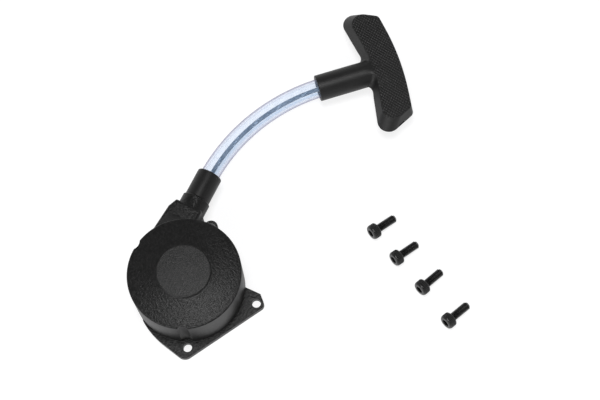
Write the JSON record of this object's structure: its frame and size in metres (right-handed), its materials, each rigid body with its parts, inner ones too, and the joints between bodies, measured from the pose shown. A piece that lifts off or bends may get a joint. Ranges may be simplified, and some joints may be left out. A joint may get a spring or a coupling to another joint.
{
  "type": "recoil starter",
  "caption": "Pull starter for a small engine: round flanged drum, rope reel with spring and one-way clutch, clear bent rope tube, T handle and loose mounting screws.",
  "frame": {"origin": "on the drum's axis, in the plane of the flange's rear face, which bolts to the engine", "axes": "+Z from the engine towards the lid, +Y from mounting hole B to mounting hole C, +X from those two towards holes A and D; the rope nozzle points to +X and +Y"},
  "size_m": [0.1304, 0.1214, 0.0219],
  "materials": {
    "case_plastic": "black glass-filled nylon: spark-eroded top, smoother moulded wall",
    "grip_plastic": "black moulded plastic, fine diamond pattern on the faces",
    "sleeve_rubber": "smooth black heat-shrunk sleeve",
    "clear_tube": "clear flexible PVC, slightly blue, glossy",
    "rope_fibre": "braided steel-blue polyamide rope with pale flecks, 1.6 mm thick",
    "reel_plastic": "natural nylon, satin",
    "plate_steel": "bright zinc-plated sheet steel",
    "spring_steel": "blued spring steel, lightly oiled",
    "clutch_steel": "hardened and ground steel",
    "cage_plastic": "black moulded plastic",
    "bush_bronze": "oil-filled sintered bronze",
    "screw_black": "black-oxide alloy steel, oiled"
  },
  "bodies": {
    "housing": {"starter_case": "case_plastic", "back_plate": "plate_steel", "back_plate_screws": "plate_steel", "spring_cup": "plate_steel", "spring_plate": "plate_steel", "recoil_spring": "spring_steel", "axle_washer": "plate_steel", "axle_screw": "plate_steel", "rope_guide": "bush_bronze", "tube_sleeve": "sleeve_rubber", "guide_tube": "clear_tube", "rope_run": "rope_fibre"},
    "reel": {"rope_reel": "reel_plastic", "reel_bush": "bush_bronze", "clutch_shell": "clutch_steel", "clutch_cage": "cage_plastic", "clutch_rollers": "clutch_steel", "rope_coil": "rope_fibre", "reel_knot": "rope_fibre"},
    "drive": {"drive_sleeve": "clutch_steel"},
    "handle": {"handle_grip": "grip_plastic", "handle_cap": "grip_plastic", "knot_washer": "plate_steel", "rope_tail": "rope_fibre", "rope_knot": "rope_fibre"},
    "loose_screws": {"mounting_screws": "screw_black"}
  },
  "joints": [
    {"name": "handle_pull", "type": "slide", "parent": "housing", "child": "handle", "axis": [0.9785, -0.2062, 0], "range_m": [0, 0.28], "stiffness_N_per_m": 12, "springref_m": -0.25},
    {"name": "reel_spin", "type": "hinge", "parent": "housing", "child": "reel", "pos_m": [0, 0, 0.009], "axis": [0, 0, 1], "range_deg": [-1575, 0], "deforming": ["recoil_spring"]},
    {"name": "drive_overrun", "type": "hinge", "parent": "reel", "child": "drive", "pos_m": [0, 0, 0.005], "axis": [0, 0, 1], "continuous": true},
    {"name": "screws_aside", "type": "slide", "parent": "housing", "child": "loose_screws", "axis": [1, 0, 0], "range_m": [0, 0.05]}
  ],
  "couplings": [
    {"joint": "reel_spin", "follows": "handle_pull", "rad_per_m": -98}
  ]
}
